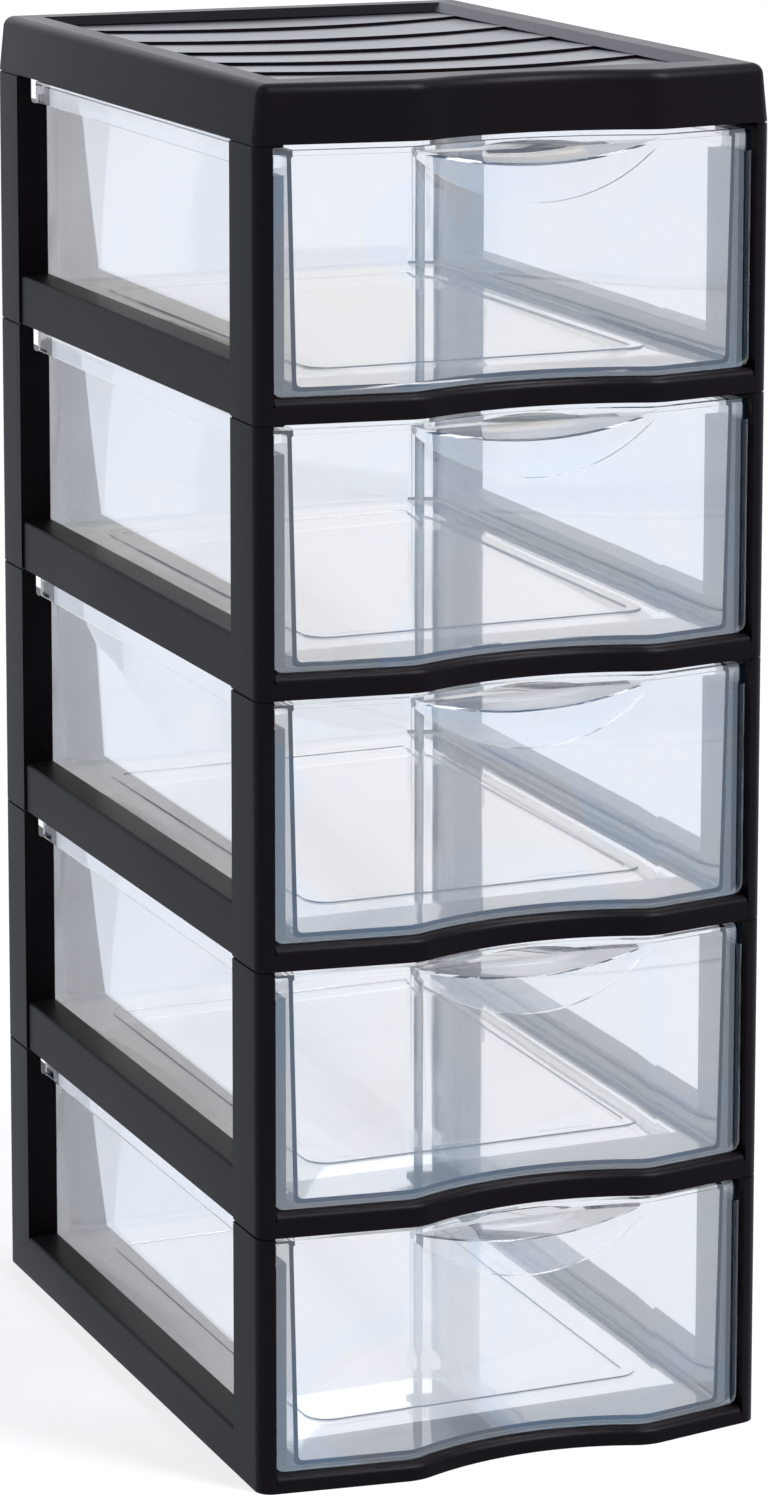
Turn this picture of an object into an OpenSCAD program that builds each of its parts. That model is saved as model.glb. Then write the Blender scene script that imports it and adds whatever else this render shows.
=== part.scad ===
// Drawer tower: five clear drawers in a stack of black frames under a ribbed cover.
// Millimetres, +Z up. The front faces -Y and the origin is under the middle of the tower.
// Every frame is the same moulding, but the lowest one stands on its own edge and has no lap.

/* [Tower] */
// Width across the side faces of the posts
tower_w = 195; // [170:1:260]
// Depth from the front posts' faces to the backs of the rear posts
tower_d = 277; // [230:1:340]
// Height from one frame to the next
module_h = 96.25; // [84:0.25:140]

/* [Front wave] */
// How far the two crests stand proud of the front posts
crest_proud = 7.5; // [5:0.5:11]
// Half the distance between the two crests
crest_half_span = 47; // [40:1:52]
// Radius of the plan curve on each crest
crest_r = 19; // [15:1:24]
// How far the middle of the wave is set back from the front posts
wave_dip = 1.5; // [0:0.5:4]
// Sideways place of the wave and the handle, right of the middle
wave_x = 5.5; // [-8:0.5:8]

/* [Frame] */
// Wall of the frames and the cover
frame_t = 2; // [1.6:0.1:2.4]
// Width of a front post beside the drawer front
face_w = 6; // [5:0.5:8]
// Width of a post from its outside to the inside of its leg
leg_w = 12; // [11:0.5:16]
// Depth of a post, seen from the side
post_d = 25.5; // [20:0.5:36]
// Radius of the four corners of the tower
corner_r = 6; // [5:0.5:7]
// Top of the side rails above the seat of a frame
rail_h = 16.3; // [12:0.1:24]
// Radius along the outer top edge of a side rail
rail_r = 1.2; // [0.5:0.1:1.9]
// How far the outer face of a side rail lies inside the posts' faces
rail_set = 0.8; // [0.2:0.1:1.2]
// Top of the shelf that a drawer slides on, above the seat
shelf_h = 7.6; // [7.2:0.1:10]
// Width of the shelf inside a side rail
shelf_w = 6.5; // [5:0.5:12]
// Top of the front rail's lip above the seat
lip_h = 5.9; // [4.8:0.1:6.2]
// Radius along the front rail's lip
lip_r = 2.6; // [1.8:0.1:3.2]
// How far a frame or the cover laps over the frame below
lap = 2.5; // [2:0.1:5]
// Height of the spigot on a post above its shoulder
spigot_h = 8; // [5:0.5:12]
// Height of the shadow groove under each lap
seam_h = 0.8; // [0.4:0.1:1.2]
// Depth of that groove
seam_d = 0.6; // [0.3:0.1:0.8]

/* [Cover] */
// Height of the cover from its lower edge to its rim
cover_h = 20.5; // [18:0.5:30]
// How much narrower the cover is at its top than at its foot, on each side
cover_flare = 1.6; // [0.5:0.1:2]
// Radius along the outer top edge of the cover
cover_r = 4.2; // [3:0.1:5]
// Width of the rim around the ribbed panel
rim_w = 14.5; // [12:0.5:20]
// Depth of the panel below the rim
panel_sink = 3.2; // [2.6:0.1:5]
// Run of the sloping wall between the rim and the panel
rim_slope = 3.5; // [1:0.5:5]
// Number of bowed strips in the panel
strips = 7; // [4:1:8]
// Height of the step between two strips
step_h = 1.3; // [0.6:0.1:1.6]
// Radius of the strips' bow, in plan
bow_r = 187; // [170:1:300]
// How much the strips widen towards the back
strip_growth = 0.33; // [0:0.01:0.5]

/* [Drawer] */
// Wall of the drawers
drawer_t = 1.6; // [1.2:0.1:2]
// Thickness of a drawer's wavy front
front_t = 2; // [1.6:0.1:2.4]
// How far that front lies behind the face of the rail
front_set = 4; // [3:0.25:5]
// Lean of the drawer's walls, in degrees
draft = 1.2; // [0.4:0.1:1.4]
// Radius of the drawer's rear corners, in plan
tub_r = 10; // [6:0.5:16]
// Radius along the drawer's lower edges
edge_r = 2; // [1.7:0.1:2.4]
// Radius of the lower corners of the front
front_r = 4; // [2:0.5:8]
// How far the lip of a side flange hangs down
flange_drop = 8; // [5:0.5:11]
// Height of the thick band along the rim
band_h = 2; // [1.2:0.1:3]
// How much thicker the rim is than the wall
band_t = 0.8; // [0.4:0.1:1.5]
// Height of the raised line around the floor
line_h = 0.6; // [0.3:0.1:1.2]
// Width of that line
line_w = 5; // [2:0.5:8]
// Distance from the drawer's side walls to that line
line_in = 19; // [14:1:30]
// Distance from the front posts' faces to that line
line_y = 36; // [28:1:60]

/* [Handle] */
// Thickness of the flap
flap_t = 1.8; // [1.4:0.1:2.2]
// How far the middle of the flap stands proud of the crests
flap_proud = 0.5; // [0:0.1:3]
// Height from the lowest point of the flap to the rim of the drawer
flap_h = 21; // [16:0.5:26]
// How far the ends of its lower edge lie below the rim
flap_end = 2.8; // [2:0.1:5]
// Radius of the bow along the top of the flap, seen from the front
brow_r = 245; // [220:5:400]
// How far the front top edge of the flap lies below the rim, in the middle
brow_drop = 7; // [5:0.1:9]
// Slope of the top of the flap, in degrees
brow_slope = 19; // [12:1:26]

/* [Clearances] */
// Gap between the drawer's floor and the shelf
slide_gap = 0.3; // [0.2:0.05:0.6]
// Gap between the drawer's walls and the posts
wall_gap = 0.7; // [0.6:0.1:1.5]
// Gap beside, under and behind the drawer's front
front_gap = 0.6; // [0.4:0.1:1]
// Gap between the rim of a drawer and the edge of the frame above it
rim_gap = 2.5; // [2:0.1:5]
// Gap between a flange and the notch that it slides through
notch_gap = 0.8; // [0.5:0.1:1.2]
// Gap between a spigot and the post above it
spigot_gap = 0.2; // [0.1:0.05:0.4]
// Room between the back of a drawer and the back of the tower
rear_gap = 6; // [3:0.5:12]

/* [Hidden] */
$fn = 96;

frames = 5;
half_w = tower_w / 2;
// The flap reaches furthest forward, so it sets the middle of the depth
foremost = crest_proud + flap_proud;
shift_y = (foremost - tower_d) / 2;
black = [0.09, 0.09, 0.1];
clear = [0.86, 0.9, 0.94, 0.35];
far = 2 * tower_d;
bite = 1;

// Circle through the middle of the wave, touching both crest circles from outside
wave_rise = crest_r - crest_proud - wave_dip;
wave_r = (crest_half_span * crest_half_span + wave_rise * wave_rise - crest_r * crest_r)
         / (2 * (crest_proud + wave_dip));
wave_a = atan2(crest_half_span, wave_rise + wave_r);

// Heights above the seat of a frame
rim_z = module_h - lap - rim_gap;
tub_z = shelf_h + slide_gap;
front_z = lip_h + front_gap;
post_top = module_h - lap;
// The spigots clear the leaning inside of the cover
bore_in = frame_t + cover_flare;
// The edge of the cover turns over inside its corners
cover_edge = min(cover_r, corner_r - cover_flare - 0.2);
notch_top = rim_z + notch_gap;
notch_z = rim_z - flange_drop - notch_gap;

// Depths behind the face of the front rail
front_back = front_set + front_t;
stop_set = front_back + front_gap;
riser_back = stop_set + frame_t;

// Drawer sizes
front_half = half_w - face_w - front_gap;
tub_half = half_w - leg_w - wall_gap;
notch_x = front_half + notch_gap;
tub_back = tower_d - rear_gap;
flange_back = tower_d - post_d - 5 * front_gap;
lean = tan(draft) * (rim_z - tub_z);

// ---- Plan of the tower ------------------------------------------------------------------
// Side s is 1 on the right and -1 on the left, where the plan is mirrored.

function crest_c(s) = [crest_half_span + s * wave_x, crest_r - crest_proud];
function wave_c(s) = [s * wave_x, wave_dip - wave_r];
function to_corner(s) = [half_w, 0] - crest_c(s);
// Length and turn of the straight flank between a crest and the corner of the tower
function flank(s) = sqrt(to_corner(s) * to_corner(s) - crest_r * crest_r);
function flank_a(s) = atan2(to_corner(s)[1], to_corner(s)[0]) + atan2(crest_r, flank(s));
function flank_n(s) = [sin(flank_a(s)), -cos(flank_a(s))];
// The flank's y at x, set in by t
function flank_y(s, x, t) = (x - half_w) * tan(flank_a(s)) + t / cos(flank_a(s));
function corner_c(s) = [half_w - corner_r, flank_y(s, half_w - corner_r, corner_r)];

// Points of an arc about c
function arc(c, r, a0, a1, n) = [for (i = [0:n]) let (a = a0 + (a1 - a0) * i / n) c + r * [cos(a), sin(a)]];

// The wave from its middle out to the start of the flank, set in by t. No point lies where two
// of its curves meet.
function half_wave(s, t) = concat(
  arc(wave_c(s), wave_r + t, 90, 91 - wave_a, 16),
  arc(crest_c(s), crest_r - t, 272 - wave_a, 268 + flank_a(s), 12),
  [crest_c(s) + (crest_r - t) * flank_n(s) + bite * [cos(flank_a(s)), sin(flank_a(s))]]);

function reversed(p) = [for (i = [len(p) - 1:-1:0]) p[i]];
function mirrored(p) = [for (q = p) [-q[0], q[1]]];

// Everything behind the wave, set in by t
module behind(t) {
  polygon(concat([[half_w, tower_d], [half_w, flank_y(1, half_w, t)]], reversed(half_wave(1, t)),
    mirrored(half_wave(-1, t)), [[-half_w, flank_y(-1, half_w, t)], [-half_w, tower_d]]));
}

// The tower's plan set in by t, with round corners
module plan(t) {
  polygon(concat(half_rim(1, t), mirrored(reversed(half_rim(-1, t)))));
  for (s = [-1, 1]) {
    translate([s * corner_c(s)[0], corner_c(s)[1]]) circle(corner_r - t);
    translate([s * (half_w - corner_r), tower_d - corner_r]) circle(corner_r - t);
  }
}

function half_rim(s, t) = concat(half_wave(s, t), [
  corner_c(s) + (corner_r - t) * flank_n(s), corner_c(s), [half_w - t, corner_c(s)[1]],
  [half_w - t, tower_d - corner_r], [half_w - corner_r, tower_d - corner_r],
  [half_w - corner_r, tower_d - t]]);

// Both sides, one of them mirrored; each child is told its side
module both() {
  children(0);
  mirror([1, 0, 0]) children(1);
}

// Stations along the outline: each is a point and the direction into the tower.
function on_arc(c, r, a0, a1, n, way) =
  [for (i = [0:n]) let (a = a0 + (a1 - a0) * i / n, u = [cos(a), sin(a)]) [c + r * u, way * u]];
function wave_stations(s) = concat(
  on_arc(wave_c(s), wave_r, 90, 90 - wave_a, 12, 1),
  on_arc(crest_c(s), crest_r, 271.5 - wave_a, 268.5 + flank_a(s), 9, -1));
// The rail's face ends just short of the post's face strip
rail_end_x = half_w - face_w - bite / 2;
function flank_end(s) = [[rail_end_x, flank_y(s, rail_end_x, 0)], -flank_n(s)];
function corner_stations(s) = concat(
  on_arc(corner_c(s), corner_r, 270 + flank_a(s), 360, 8, -1),
  on_arc([half_w - corner_r, tower_d - corner_r], corner_r, 0, 90, 8, -1));
function other_side(st) = [for (i = [len(st) - 1:-1:0]) [for (p = st[i]) [-p[0], p[1]]]];
function past_first(st) = [for (i = [1:len(st) - 1]) st[i]];

// The front between its round corners, from left to right, and the whole way round the tower
front_way = let (left = concat(wave_stations(-1), [flank_end(-1)]))
  concat(other_side(past_first(left)), wave_stations(1), [flank_end(1)]);
round_way = concat(wave_stations(1), corner_stations(1),
  other_side(past_first(concat(wave_stations(-1), corner_stations(-1)))));

// Carries a profile along the stations: its x is the depth into the tower, its y the height
module carry(way, profile, closed) {
  n = len(way);
  m = len(profile);
  points = [for (q = way) for (p = profile) [q[0][0] + p[0] * q[1][0], q[0][1] + p[0] * q[1][1], p[1]]];
  sides = [for (i = [0:closed ? n - 1 : n - 2]) for (j = [0:m - 1])
    [i * m + j, i * m + (j + 1) % m, (i + 1) % n * m + (j + 1) % m, (i + 1) % n * m + j]];
  ends = closed ? [] : [[for (j = [m - 1:-1:0]) j], [for (j = [0:m - 1]) (n - 1) * m + j]];
  polyhedron(points, concat(sides, ends), convexity = 10);
}

// Sweeps a profile along the right side: its x is the inset, its y the height
module along_side(y0, y1) {
  translate([half_w, y1, 0]) rotate([90, 0, 0]) linear_extrude(y1 - y0) mirror([1, 0]) children();
}

// ---- Frame ------------------------------------------------------------------------------

// Face and lip of the front rail, down to its lower edge z0
function front_rail_profile(z0) = concat([[0, z0]], arc([lip_r, lip_h - lip_r], lip_r, 180, 90, 6),
  [[stop_set + bite, lip_h], [stop_set + bite, z0]]);

// The front rail is hollow under its lip, and its stop stands up to the shelf behind the drawer
module front_rail(z0) {
  difference() {
    union() {
      carry(front_way, front_rail_profile(z0), false);
      translate([0, 0, z0]) linear_extrude(lip_h - z0 - bite / 2) rail_band(lip_r, riser_back);
      translate([0, 0, lip_h - frame_t]) linear_extrude(shelf_h - lip_h + frame_t)
        rail_band(stop_set, riser_back);
      both() {
        rail_end(1, z0);
        rail_end(-1, z0);
      }
    }
    translate([0, 0, z0 - bite]) linear_extrude(lip_h - frame_t - z0 + bite) rail_band(frame_t, tower_d);
  }
}

// Joins the rail to the round corner of the post, a hair behind its face
module rail_end(s, z0) {
  hair = 0.04;
  for (q = [[hair, lip_h - lip_r], [lip_r + hair, lip_h - hair]])
    translate([0, 0, z0]) linear_extrude(q[1] - z0) intersection() {
      mirror([s < 0 ? 1 : 0, 0]) plan(q[0]);
      translate([rail_end_x - bite, -tower_d]) square([2.5 * bite, tower_d + stop_set]);
    }
}

// Strip along the wave from depth d0 to d1, between the legs
module rail_band(d0, d1) {
  intersection() {
    difference() {
      behind(d0);
      behind(d1);
    }
    translate([-half_w + face_w, -tower_d]) square([tower_w - 2 * face_w, tower_d + post_d]);
  }
}

// Channel of a side rail over the shelf on its inner wall
module side_rail_profile(z0, inset) {
  polygon(concat([[inset, z0]], arc([inset + rail_r, rail_h - rail_r], rail_r, 180, 90, 6),
    [[leg_w, rail_h], [leg_w, shelf_h - frame_t], [leg_w - frame_t, shelf_h - frame_t],
     [leg_w - frame_t, rail_h - frame_t], [inset + frame_t, rail_h - frame_t], [inset + frame_t, z0]]));
}

// A front post: a face strip beside the drawer's front and the wider leg behind it
module front_post_plan(s) {
  intersection() {
    mirror([s < 0 ? 1 : 0, 0]) plan(0);
    translate([half_w - face_w, -tower_d]) square([face_w, tower_d + post_d]);
  }
  intersection() {
    mirror([s < 0 ? 1 : 0, 0]) behind(stop_set);
    translate([half_w - leg_w, -tower_d]) square([leg_w - face_w + bite, tower_d + post_d]);
  }
}

module rear_post_plan() {
  intersection() {
    plan(0);
    translate([half_w - leg_w, tower_d - post_d]) square([leg_w, post_d]);
  }
}

// Room inside a post from y0 to y1; g makes it smaller, for the spigot of the post below
module bore_plan(y0, y1, g) {
  translate([half_w - leg_w + frame_t + g, y0 + g])
    square([leg_w - frame_t - bore_in - 2 * g, y1 - y0 - 2 * g]);
}

function front_bore(s) = [flank_y(s, half_w, riser_back), post_d - frame_t];
rear_bore = [tower_d - post_d + frame_t, tower_d - bore_in];

// A post from its lower edge z0 to its shoulder, open below, notched for the drawer's flange
module post(z0, bore) {
  difference() {
    union() {
      translate([0, 0, z0]) linear_extrude(post_top - seam_h - z0) children(0);
      translate([0, 0, post_top - seam_h - bite]) linear_extrude(seam_h + bite) children(1);
    }
    translate([0, 0, z0 - bite]) linear_extrude(notch_z - frame_t - z0 + bite) bore_plan(bore[0], bore[1], 0);
    notch();
  }
  translate([0, 0, post_top - bite]) linear_extrude(spigot_h + bite) bore_plan(bore[0], bore[1], spigot_gap);
}

// Slot for the flange along the inside of a leg, rounded at the bottom
module notch() {
  r = 2 * notch_gap;
  translate([0, far / 2, 0]) rotate([90, 0, 0]) linear_extrude(far)
    polygon(concat([[half_w - leg_w - bite, notch_top], [notch_x, notch_top]],
      arc([notch_x - r, notch_z + r], r, 0, -90, 6), [[half_w - leg_w - bite, notch_z]]));
}

module frame_side(s, z0, inset) {
  post(z0, front_bore(s)) {
    front_post_plan(s);
    intersection() {
      front_post_plan(s);
      mirror([s < 0 ? 1 : 0, 0]) plan(seam_d);
    }
  }
  post(z0, rear_bore) {
    rear_post_plan();
    intersection() {
      rear_post_plan();
      plan(seam_d);
    }
  }
  along_side(post_d - frame_t / 2, tower_d - post_d + frame_t / 2) side_rail_profile(z0, inset);
  // The shelf runs on past both posts
  along_side(post_d - bite, tower_d) translate([leg_w - frame_t / 2, shelf_h - frame_t])
    square([shelf_w + frame_t / 2, frame_t]);
}

module frame(z0, inset) {
  front_rail(z0);
  // Shelf behind the front rail, stiffened along its rear edge
  translate([0, 0, shelf_h - frame_t]) linear_extrude(frame_t) intersection() {
    behind(stop_set + bite);
    translate([-half_w + leg_w - bite, -tower_d]) square([tower_w - 2 * leg_w + 2 * bite, tower_d + post_d]);
  }
  translate([-half_w + leg_w - bite, post_d - frame_t, shelf_h - 2 * frame_t])
    cube([tower_w - 2 * leg_w + 2 * bite, frame_t, frame_t + bite]);
  both() {
    frame_side(1, z0, inset);
    frame_side(-1, z0, inset);
  }
}

// Frame number k, counted from 0 at the bottom
module placed_frame(k) {
  color(black) translate([0, shift_y, k * module_h]) frame(k == 0 ? 0 : -lap, k == 0 ? 0 : rail_set);
}

// ---- Cover ------------------------------------------------------------------------------

// Wall of the cover: it leans in, turns over a round edge and ends in the rim
cover_profile = concat([[0, 0]],
  arc([cover_flare + cover_edge, cover_h - cover_edge], cover_edge, 180, 90, 7),
  [[cover_flare + cover_edge, cover_h - frame_t]],
  arc([cover_flare + cover_edge, cover_h - cover_edge], cover_edge - frame_t, 90, 180, 3),
  [[frame_t, 0]]);

module cover_shell() {
  carry(round_way, cover_profile, true);
  translate([0, 0, cover_h - frame_t]) linear_extrude(frame_t)
    polygon([for (q = round_way) q[0] + (cover_flare + cover_edge - bite / 2) * q[1]]);
}

tray_top = cover_h - panel_sink;
tray_z = tray_top - step_h - frame_t;
tray_half = half_w - rim_w;
tray_y = [rim_w + frame_t, tower_d - rim_w];
// Edges of the panel at the foot of the sloping walls
foot_half = tray_half - rim_slope;
foot_y = [tray_y[0] + rim_slope, tray_y[1] - rim_slope];
foot_d = foot_y[1] - foot_y[0];

// Opening through the rim, with sloping walls down to the panel
module cover_recess() {
  top = cover_h + bite;
  run = rim_slope * (panel_sink + bite) / panel_sink;
  intersection() {
    translate([0, far, 0]) rotate([90, 0, 0]) linear_extrude(2 * far)
      polygon([[-foot_half, tray_top], [foot_half, tray_top], [foot_half + run, top],
        [-foot_half - run, top]]);
    translate([-half_w, 0, 0]) rotate([90, 0, 90]) linear_extrude(tower_w)
      polygon([[foot_y[0], tray_top], [foot_y[1], tray_top], [foot_y[1] + run, top],
        [foot_y[0] - run, top]]);
  }
}

// Strip i starts at a bow across the panel; the first bow would lie ahead of the panel
function bow_y(i) = let (u = i / strips)
  foot_y[0] - 0.1 * foot_d + 1.15 * foot_d * ((1 - strip_growth) * u + strip_growth * u * u);

module bow_disc(i) {
  translate([0, bow_y(i) + bow_r, 0]) cylinder(h = 2 * cover_h, r = bow_r, $fn = 240);
}

// Room over strip i, which falls towards the back like a shallow dish
module strip_room(i) {
  fall = step_h / (bow_y(i + 1) - bow_y(i));
  reach = bow_r + panel_sink;
  difference() {
    intersection() {
      translate([0, bow_y(i) + bow_r, tray_top - bow_r * fall])
        cylinder(h = reach * fall, r1 = 0, r2 = reach, $fn = 240);
      translate([-foot_half, foot_y[0], tray_z]) cube([2 * foot_half, foot_d, cover_h]);
      if (i > 0) bow_disc(i);
    }
    if (i < strips - 1) bow_disc(i + 1);
  }
}

module cover_body() {
  difference() {
    union() {
      cover_shell();
      translate([-tray_half, tray_y[0], tray_z])
        cube([2 * tray_half, tray_y[1] - tray_y[0], cover_h - frame_t / 2 - tray_z]);
      both() {
        sockets(1);
        sockets(-1);
      }
    }
    cover_recess();
    for (i = [0:strips - 1]) strip_room(i);
  }
}

// Sleeves under the cover for the spigots of the top frame
module sockets(s) {
  for (bore = [front_bore(s), rear_bore]) difference() {
    linear_extrude(spigot_h + 2 * bite) bore_plan(bore[0], bore[1], -frame_t / 2);
    translate([0, 0, -bite]) linear_extrude(spigot_h + 4 * bite) bore_plan(bore[0], bore[1], 0);
  }
}

// ---- Drawer -----------------------------------------------------------------------------

// Wall of the drawer down to its floor: x is the inset, y the height
module tub_profile() {
  low = lean - edge_r * tan(draft);
  polygon(concat([[0, rim_z]],
    arc([low + edge_r, tub_z + edge_r], edge_r, 180, 270, 6),
    [[tub_r, tub_z], [tub_r, tub_z + drawer_t]],
    arc([low + edge_r + drawer_t, tub_z + edge_r + drawer_t], edge_r, 270, 180, 6),
    [[drawer_t, rim_z - band_h - band_t], [drawer_t + band_t, rim_z - band_h], [drawer_t + band_t, rim_z]]));
}

module tub() {
  inner_y = tub_back - tub_r;
  inner_x = tub_half - tub_r;
  intersection() {
    union() {
      for (s = [0, 1]) mirror([s, 0, 0]) {
        translate([tub_half, inner_y, 0]) rotate([90, 0, 0]) linear_extrude(inner_y + tub_r)
          mirror([1, 0]) tub_profile();
        translate([inner_x, inner_y, 0]) rotate_extrude(angle = 90) translate([tub_r, 0])
          mirror([1, 0]) tub_profile();
      }
      translate([-inner_x, tub_back, 0]) rotate([90, 0, 90]) linear_extrude(2 * inner_x)
        mirror([1, 0]) tub_profile();
      translate([-inner_x, -tub_r, tub_z]) cube([2 * inner_x, tub_back, drawer_t]);
    }
    linear_extrude(module_h) behind(front_set + front_t / 2);
  }
}

// The wavy front between two depths, over a height
module wavy_plate(d0, d1, z0, z1) {
  translate([0, 0, z0]) linear_extrude(z1 - z0) intersection() {
    difference() {
      behind(d0);
      behind(d1);
    }
    translate([-front_half, -tower_d]) square([2 * front_half, tower_d + post_d]);
  }
}

module drawer_front() {
  intersection() {
    wavy_plate(front_set, front_back, front_z, rim_z);
    translate([0, tower_d, 0]) rotate([90, 0, 0]) linear_extrude(far) {
      translate([-front_half, front_z + front_r]) square([2 * front_half, module_h]);
      translate([-front_half + front_r, front_z]) square([2 * (front_half - front_r), 2 * front_r]);
      for (s = [-1, 1]) translate([s * (front_half - front_r), front_z + front_r]) circle(front_r);
    }
  }
  wavy_plate(front_set + front_t / 2, front_back + band_t, rim_z - band_h, rim_z);
}

// Flange along the top of the right side, with its lip hanging down
module flange() {
  intersection() {
    union() {
      translate([tub_half - drawer_t / 2, -tower_d, rim_z - drawer_t])
        cube([front_half - tub_half + drawer_t / 2, tower_d + flange_back, drawer_t]);
      translate([front_half - drawer_t, -tower_d, rim_z - flange_drop])
        cube([drawer_t, tower_d + flange_back, flange_drop]);
    }
    linear_extrude(module_h) union() {
      intersection() {
        behind(front_set + front_t / 2);
        mirror([1, 0]) behind(front_set + front_t / 2);
      }
    }
  }
}

module rounded(w, d, r) {
  translate([-w / 2, r]) square([w, d - 2 * r]);
  translate([-w / 2 + r, 0]) square([w - 2 * r, d]);
  for (x = [-w / 2 + r, w / 2 - r]) for (y = [r, d - r]) translate([x, y]) circle(r);
}

// Raised line around the floor
module floor_line() {
  w = 2 * (tub_half - line_in);
  d = tub_back - line_in - line_y;
  translate([wave_x / 2, line_y, tub_z + drawer_t / 2]) linear_extrude(drawer_t / 2 + line_h)
    difference() {
      rounded(w, d, line_w + 4);
      translate([0, line_w]) rounded(w - 2 * line_w, d - 2 * line_w, 4);
    }
}

// ---- Handle -----------------------------------------------------------------------------

// The flap's plan is an arc from crest to crest, and its lower edge an arc seen from the front
flap_bow = flap_proud + front_set;
flap_plan_r = (crest_half_span * crest_half_span + flap_bow * flap_bow) / (2 * flap_bow);
flap_rise = flap_h - flap_end;
flap_edge_r = (crest_half_span * crest_half_span + flap_rise * flap_rise) / (2 * flap_rise);

// Everything under the sloping, bowed top of the flap, lowered by t
module under_brow(t) {
  reach = 6 * foremost;
  translate([wave_x, -foremost, rim_z - brow_drop - t]) rotate([brow_slope, 0, 0]) difference() {
    translate([-front_half, -reach / 2, -2 * flap_h]) cube([2 * front_half, reach, 4 * flap_h]);
    translate([0, -reach, brow_r]) rotate([-90, 0, 0]) cylinder(h = 2 * reach, r = brow_r, $fn = 240);
  }
}

module flap_plan(t) {
  translate([wave_x, flap_plan_r - foremost, rim_z - 2 * flap_h])
    cylinder(h = 2 * flap_h, r = flap_plan_r - t, $fn = 240);
}

module flap() {
  difference() {
    intersection() {
      flap_plan(0);
      translate([wave_x, -far / 2, rim_z - flap_h + flap_edge_r]) rotate([-90, 0, 0])
        cylinder(h = far, r = flap_edge_r, $fn = 240);
      union() {
        under_brow(0);
        // Cove between the brow and the rim
        translate([-front_half, 0, 0]) rotate([90, 0, 90]) linear_extrude(2 * front_half)
          polygon([[-foremost, rim_z - 2 * flap_h], [wave_dip + front_back, rim_z - 2 * flap_h],
            [wave_dip + front_back, rim_z - band_t / 2], [wave_dip + front_set, rim_z - band_t / 2],
            [-foremost, rim_z - foremost - wave_dip - front_set]]);
      }
    }
    intersection() {
      flap_plan(flap_t);
      under_brow(flap_t);
    }
    linear_extrude(module_h) behind(front_set + front_t / 2);
  }
}

module drawer() {
  tub();
  drawer_front();
  flange();
  mirror([1, 0, 0]) flange();
  floor_line();
  flap();
}

// Drawer number k, counted from 0 at the bottom
module placed_drawer(k) {
  color(clear) translate([0, shift_y, k * module_h]) drawer();
}

// ---- Pieces -----------------------------------------------------------------------------

module base_frame() { placed_frame(0); }
module frame_2() { placed_frame(1); }
module frame_3() { placed_frame(2); }
module frame_4() { placed_frame(3); }
module frame_5() { placed_frame(4); }
module top_cover() { color(black) translate([0, shift_y, frames * module_h - lap]) cover_body(); }
module drawer_1() { placed_drawer(0); }
module drawer_2() { placed_drawer(1); }
module drawer_3() { placed_drawer(2); }
module drawer_4() { placed_drawer(3); }
module drawer_5() { placed_drawer(4); }

base_frame();
frame_2();
frame_3();
frame_4();
frame_5();
top_cover();
drawer_1();
drawer_2();
drawer_3();
drawer_4();
drawer_5();
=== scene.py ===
import math

import bpy
from mathutils import Matrix, Vector


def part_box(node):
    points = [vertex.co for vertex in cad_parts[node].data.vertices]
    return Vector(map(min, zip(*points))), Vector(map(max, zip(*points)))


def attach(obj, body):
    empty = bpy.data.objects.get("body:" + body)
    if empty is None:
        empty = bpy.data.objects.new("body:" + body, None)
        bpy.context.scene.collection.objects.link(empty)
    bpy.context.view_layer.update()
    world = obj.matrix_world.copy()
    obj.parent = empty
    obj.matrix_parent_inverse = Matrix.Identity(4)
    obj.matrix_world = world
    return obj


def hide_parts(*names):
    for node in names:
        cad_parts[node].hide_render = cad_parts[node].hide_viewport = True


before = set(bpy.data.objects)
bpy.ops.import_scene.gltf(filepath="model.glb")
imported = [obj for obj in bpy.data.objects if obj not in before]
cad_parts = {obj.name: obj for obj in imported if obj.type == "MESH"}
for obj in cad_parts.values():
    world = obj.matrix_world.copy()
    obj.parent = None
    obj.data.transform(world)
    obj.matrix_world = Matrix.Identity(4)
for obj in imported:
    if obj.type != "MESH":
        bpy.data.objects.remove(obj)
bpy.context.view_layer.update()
bpy.ops.object.select_all(action="DESELECT")  # the loaded nodes come in selected
scene = bpy.context.scene
print("tower loaded:", len(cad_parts), "nodes")

plainWhite = (1, 1, 1, 1)


def makeActive(piece):
    bpy.ops.object.select_all(action="DESELECT")
    piece.select_set(True)
    bpy.context.view_layer.objects.active = piece


def addNode(nodes, kind, place=(0, 0), **values):  # a value is a socket of the node or a setting
    node = nodes.new(kind)
    node.location = place
    for name, value in values.items():
        if name in node.inputs:
            node.inputs[name].default_value = value
        else:
            setattr(node, name, value)
    return node


def setSockets(node, values):
    for name, value in values.items():
        node.inputs[name].default_value = value


def join(tree, *wires):  # each wire: a node, its output, the next node, its input
    for source, output, target, entry in wires:
        tree.links.new(source.outputs[output], target.inputs[entry])


def startGroup(name, inputs, outputs):
    group = bpy.data.node_groups.new(name, "ShaderNodeTree")
    for label, start in inputs.items():
        socket = group.interface.new_socket(label, in_out="INPUT", socket_type="NodeSocketFloat")
        socket.default_value = start
    for label in outputs:
        group.interface.new_socket(label, in_out="OUTPUT", socket_type="NodeSocketFloat")
    return group, group.nodes.new("NodeGroupInput"), group.nodes.new("NodeGroupOutput")


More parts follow.
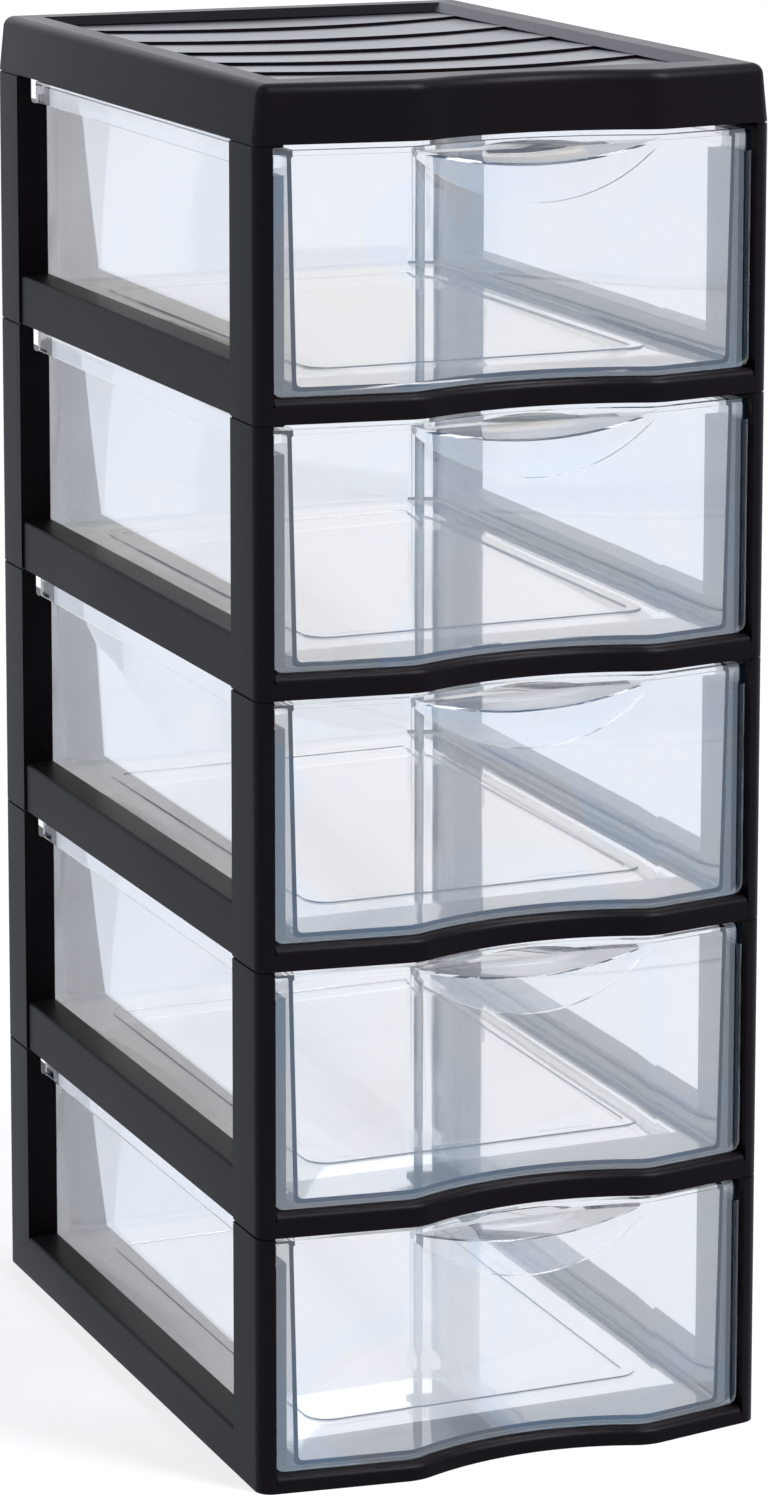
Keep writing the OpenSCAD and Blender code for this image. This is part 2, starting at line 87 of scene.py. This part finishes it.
def buildMouldGrain():  # fine pits in the moulded skin, and the slow flow marks under them
    group, entry, result = startGroup(
        "mouldGrain", {"Grain Scale": 900.0, "Flow Scale": 14.0, "Mix": 0.5}, ("Height", "Flow"))
    nodes = group.nodes
    coord = nodes.new("ShaderNodeTexCoord")
    fine = addNode(nodes, "ShaderNodeTexNoise", Detail=3.0, Roughness=0.6)
    flow = addNode(nodes, "ShaderNodeTexNoise", Detail=2.0, Roughness=0.45)
    pits = addNode(nodes, "ShaderNodeTexVoronoi", feature="SMOOTH_F1")
    blend = nodes.new("ShaderNodeMix")
    join(group,
         (coord, "Object", fine, "Vector"),
         (coord, "Object", flow, "Vector"),
         (coord, "Object", pits, "Vector"),
         (entry, "Grain Scale", fine, "Scale"),
         (entry, "Grain Scale", pits, "Scale"),
         (entry, "Flow Scale", flow, "Scale"),
         (entry, "Mix", blend, "Factor"),
         (fine, "Fac", blend, "A"),
         (pits, "Distance", blend, "B"),
         (blend, "Result", result, "Height"),
         (flow, "Fac", result, "Flow"))
    return group


def buildSettledDust():  # dust lies in specks on faces that look up
    group, entry, result = startGroup("settledDust", {"Amount": 0.1}, ("Mask",))
    nodes = group.nodes
    coord = nodes.new("ShaderNodeTexCoord")
    geo = nodes.new("ShaderNodeNewGeometry")
    split = nodes.new("ShaderNodeSeparateXYZ")
    up = addNode(nodes, "ShaderNodeMapRange", clamp=True)
    setSockets(up, {"From Min": 0.6, "From Max": 1.0})
    specks = addNode(nodes, "ShaderNodeTexNoise", Scale=60.0, Detail=5.0, Roughness=0.7)
    both = addNode(nodes, "ShaderNodeMath", operation="MULTIPLY")
    scaled = addNode(nodes, "ShaderNodeMath", operation="MULTIPLY")
    join(group,
         (geo, "Normal", split, "Vector"),
         (split, "Z", up, "Value"),
         (coord, "Object", specks, "Vector"),
         (up, "Result", both, 0),
         (specks, "Fac", both, 1),
         (both, "Value", scaled, 0),
         (entry, "Amount", scaled, 1),
         (scaled, "Value", result, "Mask"))
    return group


mouldGrain = buildMouldGrain()
settledDust = buildSettledDust()

blackPlastic = {
    "deep": (0.0018, 0.0008, 0.0014, 1),
    "lifted": (0.0036, 0.0018, 0.0028, 1),
    "tint": (0.93, 0.91, 1.0, 1),
    "dustColour": (0.35, 0.34, 0.36, 1),
    "dustAmount": 0.02,
    "roughLow": 0.36,
    "roughHigh": 0.44,
    "ior": 1.18,
    "grainScale": 900.0,
    "grainDepth": 0.00003,
    "grainStrength": 0.6,
}
stripPlasticPaintedSheen = dict(  # the steps of the cover's panel are glossier and coarser; their paler base colour is painted sheen on black plastic
    blackPlastic,
    deep=(0.030, 0.028, 0.036, 1),
    lifted=(0.045, 0.042, 0.052, 1),
    dustAmount=0.10,
    roughLow=0.32,
    roughHigh=0.40,
    ior=1.38,
    grainScale=620.0,
    grainDepth=0.00007,
)


def makeBlack(name, look):
    mat = bpy.data.materials.new(name)
    mat.use_nodes = True
    nodes = mat.node_tree.nodes
    shader = nodes["Principled BSDF"]
    setSockets(shader, {"IOR": look["ior"], "Specular Tint": look["tint"]})
    grain = addNode(nodes, "ShaderNodeGroup", (-900, 0), node_tree=mouldGrain)
    setSockets(grain, {"Grain Scale": look["grainScale"]})
    dust = addNode(nodes, "ShaderNodeGroup", (-900, -300), node_tree=settledDust)
    setSockets(dust, {"Amount": look["dustAmount"]})
    tone = addNode(nodes, "ShaderNodeMix", (-600, 200), data_type="RGBA")
    setSockets(tone, {"A": look["deep"], "B": look["lifted"]})
    dusty = addNode(nodes, "ShaderNodeMix", (-400, 200), data_type="RGBA")
    setSockets(dusty, {"B": look["dustColour"]})
    rough = addNode(nodes, "ShaderNodeMapRange", (-400, -100))
    setSockets(rough, {"To Min": look["roughLow"], "To Max": look["roughHigh"]})
    bump = addNode(nodes, "ShaderNodeBump", (-300, -350),
                   Strength=look["grainStrength"], Distance=look["grainDepth"])
    join(mat.node_tree,
         (grain, "Flow", tone, "Factor"),
         (tone, "Result", dusty, "A"),
         (dust, "Mask", dusty, "Factor"),
         (dusty, "Result", shader, "Base Color"),
         (grain, "Flow", rough, "Value"),
         (rough, "Result", shader, "Roughness"),
         (grain, "Height", bump, "Height"),
         (bump, "Normal", shader, "Normal"))
    return mat


clearPlastic = {
    "tint": (1.0, 0.988, 0.975, 1),
    "shadeTint": (1.0, 0.979, 0.962, 1),
    "specularTint": (0.10, 0.55, 1.0, 1),
    "clearness": 1.0,
    "glossWeight": 1.0,
    "glossIor": 2.1,
    "ior": 1.22,
    "hazeWeight": 0.03,
    "hazeRough": 0.9,
    "hazeTint": (0.10, 0.45, 1.0, 1),
    "roughLow": 0.0,
    "roughHigh": 0.05,
    "rippleScale": 11.0,
    "rippleLow": 0.4,
    "rippleHigh": 0.8,
    "shadowTint": (0.95, 0.965, 0.98, 1),
}


def makeClear(name, look):
    mat = bpy.data.materials.new(name)
    mat.use_nodes = True
    nodes = mat.node_tree.nodes
    shader = nodes["Principled BSDF"]
    setSockets(shader, {
        "IOR": look["ior"],
        "Transmission Weight": look["clearness"],
        "Specular Tint": look["specularTint"],
        "Coat Weight": look["glossWeight"],
        "Coat IOR": look["glossIor"],
        "Sheen Weight": look["hazeWeight"],
        "Sheen Roughness": look["hazeRough"],
        "Sheen Tint": look["hazeTint"],
    })
    coord = addNode(nodes, "ShaderNodeTexCoord", (-1300, 0))
    ripple = addNode(nodes, "ShaderNodeTexNoise", (-1100, 0), Scale=look["rippleScale"], Detail=1.0)
    tone = addNode(nodes, "ShaderNodeMix", (-500, 200), data_type="RGBA")
    setSockets(tone, {"A": look["tint"], "B": look["shadeTint"]})
    rough = addNode(nodes, "ShaderNodeMapRange", (-500, -300))
    setSockets(rough, {
        "From Min": look["rippleLow"],
        "From Max": look["rippleHigh"],
        "To Min": look["roughLow"],
        "To Max": look["roughHigh"],
    })
    through = addNode(nodes, "ShaderNodeBsdfTransparent", (100, -300), Color=look["shadowTint"])
    path = addNode(nodes, "ShaderNodeLightPath", (100, 400))
    choose = addNode(nodes, "ShaderNodeMixShader", (400, 0))
    join(mat.node_tree,
         (coord, "Object", ripple, "Vector"),
         (ripple, "Fac", tone, "Factor"),
         (tone, "Result", shader, "Base Color"),
         (ripple, "Fac", rough, "Value"),
         (rough, "Result", shader, "Roughness"),
         (path, "Is Shadow Ray", choose, 0),  # lamps shine through the drawers
         (shader, "BSDF", choose, 1),
         (through, "BSDF", choose, 2),
         (choose, "Shader", nodes["Material Output"], "Surface"))
    return mat


blackMat = makeBlack("satin black polypropylene", blackPlastic)
# the steps' paler base colour is painted sheen, standing in for the soft grey shine of black
# plastic
stripMatPaintedSheen = makeBlack("grained black step with painted sheen", stripPlasticPaintedSheen)
clearMat = makeClear("clear polystyrene", clearPlastic)
print("materials made")

skin = {"mergeGap": 0.000005, "flatAngle": 0.6, "smoothAngle": 35}  # metres and degrees


def smoothCopy(nodeName, pieceName, body, mat):
    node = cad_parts[nodeName]
    piece = node.copy()
    piece.data = node.data.copy()
    piece.name = pieceName
    for key in list(piece.keys()):  # the copy drops what the frame noted on its node
        del piece[key]
    piece.parent = None
    scene.collection.objects.link(piece)
    makeActive(piece)
    bpy.ops.object.mode_set(mode="EDIT")
    bpy.ops.mesh.select_all(action="SELECT")
    bpy.ops.mesh.remove_doubles(threshold=skin["mergeGap"])
    bpy.ops.mesh.customdata_custom_splitnormals_clear()
    bpy.ops.mesh.dissolve_limited(angle_limit=math.radians(skin["flatAngle"]))
    bpy.ops.object.mode_set(mode="OBJECT")
    piece.data.materials.clear()
    piece.data.materials.append(mat)
    for face in piece.data.polygons:
        face.material_index = 0
    makeActive(piece)
    bpy.ops.object.shade_smooth_by_angle(angle=math.radians(skin["smoothAngle"]))
    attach(piece, body)
    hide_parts(nodeName)
    return piece


stack = {"frames": ("base_frame", "frame_2", "frame_3", "frame_4", "frame_5")}
for nodeName in stack["frames"]:
    smoothCopy(nodeName, nodeName + "_shell", "tower", blackMat)

panel = {  # the stepped panel inside the cover's rim, below its top and from the middle
    "shallowest": 0.0008,
    "deepest": 0.0062,
    "leastUpward": 0.2,
    "halfWidth": 0.0835,
    "halfDepth": 0.1215,
}
cover = smoothCopy("top_cover", "cover_shell", "tower", blackMat)
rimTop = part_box("top_cover")[1].z
for face in cover.data.polygons:
    sunk = rimTop - face.center.z
    inPanel = abs(face.center.x) < panel["halfWidth"] and abs(face.center.y) < panel["halfDepth"]
    onStep = panel["shallowest"] < sunk < panel["deepest"] and face.normal.z > panel["leastUpward"]
    if inPanel and onStep:
        face.material_index = 1
cover.data.materials.append(stripMatPaintedSheen)
print("frames and cover dressed")

drawers = {"count": 5}
for number in range(1, drawers["count"] + 1):
    nodeName = "drawer_%d" % number
    smoothCopy(nodeName, nodeName + "_tub", nodeName, clearMat)
print("drawers dressed")

studio = {
    "floorSize": 12.0,
    "floorColour": (0.94, 0.94, 0.95, 1),
    "floorRough": 0.7,
    "floorSpecular": 0.1,
    "floorGlow": 0.70,  # share of plain white to the eye
    "floorGlowThrough": 0.97,  # the same through clear plastic, and of cool light in shines
    "worldLevel": 0.85,
    "coolLight": (0.84, 0.90, 1.0, 1),
    "aim": (0, 0, 0.25),
}
lamps = {  # power is in watts
    "key softbox": {"place": (1.0, -1.4, 2.4), "size": (0.7, 1.3), "power": 85.0},
    "fill softbox": {"place": (-1.9, -0.2, 1.5), "size": (1.8, 1.8), "power": 9.0},
    "back softbox": {"place": (2.3, 5.6, 1.7), "size": (6.0, 3.4), "power": 60.0},
}


def makeFloorMat():
    mat = bpy.data.materials.new("pale studio floor")
    mat.use_nodes = True
    nodes = mat.node_tree.nodes
    shader = nodes["Principled BSDF"]
    setSockets(shader, {
        "Base Color": studio["floorColour"],
        "Roughness": studio["floorRough"],
        "Specular IOR Level": studio["floorSpecular"],
    })
    glow = addNode(nodes, "ShaderNodeEmission", (0, -300), Strength=1.0)
    path = addNode(nodes, "ShaderNodeLightPath", (-600, 300))
    glowColour = addNode(nodes, "ShaderNodeMix", (-200, -300), data_type="RGBA")
    setSockets(glowColour, {"A": plainWhite, "B": studio["coolLight"]})
    shineOrThrough = addNode(nodes, "ShaderNodeMath", (-400, 200), operation="MAXIMUM")
    throughShare = addNode(nodes, "ShaderNodeMath", (-200, 200), operation="MULTIPLY")
    throughShare.inputs[1].default_value = studio["floorGlowThrough"]
    eyeShare = addNode(nodes, "ShaderNodeMath", (-200, 400), operation="MULTIPLY")
    eyeShare.inputs[1].default_value = studio["floorGlow"]
    share = addNode(nodes, "ShaderNodeMath", (0, 300), operation="MAXIMUM")
    choose = addNode(nodes, "ShaderNodeMixShader", (300, 0))
    join(mat.node_tree,
         (path, "Is Glossy Ray", glowColour, "Factor"),
         (glowColour, "Result", glow, "Color"),
         (path, "Is Glossy Ray", shineOrThrough, 0),
         (path, "Is Transmission Ray", shineOrThrough, 1),
         (shineOrThrough, "Value", throughShare, 0),
         (path, "Is Camera Ray", eyeShare, 0),
         (throughShare, "Value", share, 0),
         (eyeShare, "Value", share, 1),
         (share, "Value", choose, 0),
         (shader, "BSDF", choose, 1),
         (glow, "Emission", choose, 2),
         (choose, "Shader", nodes["Material Output"], "Surface"))
    return mat


def lightWorld():  # plain white to the eye and through clear plastic, cool everywhere else
    world = bpy.data.worlds.new("studio world")
    scene.world = world
    world.use_nodes = True
    nodes = world.node_tree.nodes
    back = nodes["Background"]
    path = nodes.new("ShaderNodeLightPath")
    colour = addNode(nodes, "ShaderNodeMix", (-300, -200), data_type="RGBA")
    setSockets(colour, {"A": studio["coolLight"], "B": plainWhite})
    eyeOrThrough = addNode(nodes, "ShaderNodeMath", (-500, -200), operation="MAXIMUM")
    eyeOrShine = addNode(nodes, "ShaderNodeMath", operation="MAXIMUM")
    seen = addNode(nodes, "ShaderNodeMath", operation="MAXIMUM")
    level = addNode(nodes, "ShaderNodeMapRange")
    setSockets(level, {"To Min": studio["worldLevel"], "To Max": 1.0})
    join(world.node_tree,
         (path, "Is Camera Ray", eyeOrThrough, 0),
         (path, "Is Transmission Ray", eyeOrThrough, 1),
         (eyeOrThrough, "Value", colour, "Factor"),
         (colour, "Result", back, "Color"),
         (path, "Is Camera Ray", eyeOrShine, 0),
         (path, "Is Glossy Ray", eyeOrShine, 1),
         (eyeOrShine, "Value", seen, 0),
         (path, "Is Transmission Ray", seen, 1),
         (seen, "Value", level, "Value"),
         (level, "Result", back, "Strength"))


def hangSoftbox(name, place, size, power):
    lamp = bpy.data.lights.new(name, "AREA")
    lamp.shape = "RECTANGLE"
    lamp.size, lamp.size_y = size
    lamp.energy = power
    holder = bpy.data.objects.new(name, lamp)
    holder.location = place
    towards = Vector(studio["aim"]) - Vector(place)
    holder.rotation_euler = towards.to_track_quat("-Z", "Y").to_euler()
    holder.visible_camera = holder.visible_transmission = False
    scene.collection.objects.link(holder)


bpy.ops.mesh.primitive_plane_add(size=studio["floorSize"], location=(0, 0, 0))
floor = bpy.context.object
floor.name = "studio_floor"
floor.data.materials.append(makeFloorMat())
lightWorld()
for lampName, settings in lamps.items():
    hangSoftbox(lampName, **settings)

view = {  # focal length and centre in the frame's pixels, angles in radians, sensor in mm
    "frame": (768, 1500),
    "focal": 5188.3,
    "centre": (375.4, 354.3),
    "turn": 0.39465,
    "dip": 0.15795,
    "roll": 0.00051,
    "place": (-0.73008, -1.7584, 0.68501),
    "sensor": 36.0,
}


def addCamera():
    wide, tall = view["frame"]
    turn, dip, roll = view["turn"], view["dip"], view["roll"]
    lookAlong = Vector((math.sin(turn) * math.cos(dip),
                        math.cos(turn) * math.cos(dip), -math.sin(dip)))
    rightWay = Vector((math.cos(turn), -math.sin(turn), 0))
    upWay = rightWay.cross(lookAlong)
    rolledRight = rightWay * math.cos(roll) + upWay * math.sin(roll)
    rolledUp = upWay * math.cos(roll) - rightWay * math.sin(roll)
    lens = bpy.data.cameras.new("camera")
    lens.sensor_fit = "AUTO"
    lens.sensor_width = view["sensor"]
    lens.lens = view["focal"] / tall * view["sensor"]
    lens.shift_x = (wide / 2 - view["centre"][0]) / tall
    lens.shift_y = (view["centre"][1] - tall / 2) / tall
    camera = bpy.data.objects.new("camera", lens)
    scene.collection.objects.link(camera)
    turned = Matrix((rolledRight, rolledUp, -lookAlong)).transposed().to_4x4()
    camera.matrix_world = Matrix.Translation(view["place"]) @ turned
    scene.camera = camera


addCamera()
scene.cycles.transparent_max_bounces = 32  # five drawers behind each other pass many walls
scene.cycles.max_bounces = 20
scene.cycles.transmission_bounces = 20
scene.cycles.caustics_refractive = False
scene.view_settings.view_transform = "Standard"
print("studio and camera set")
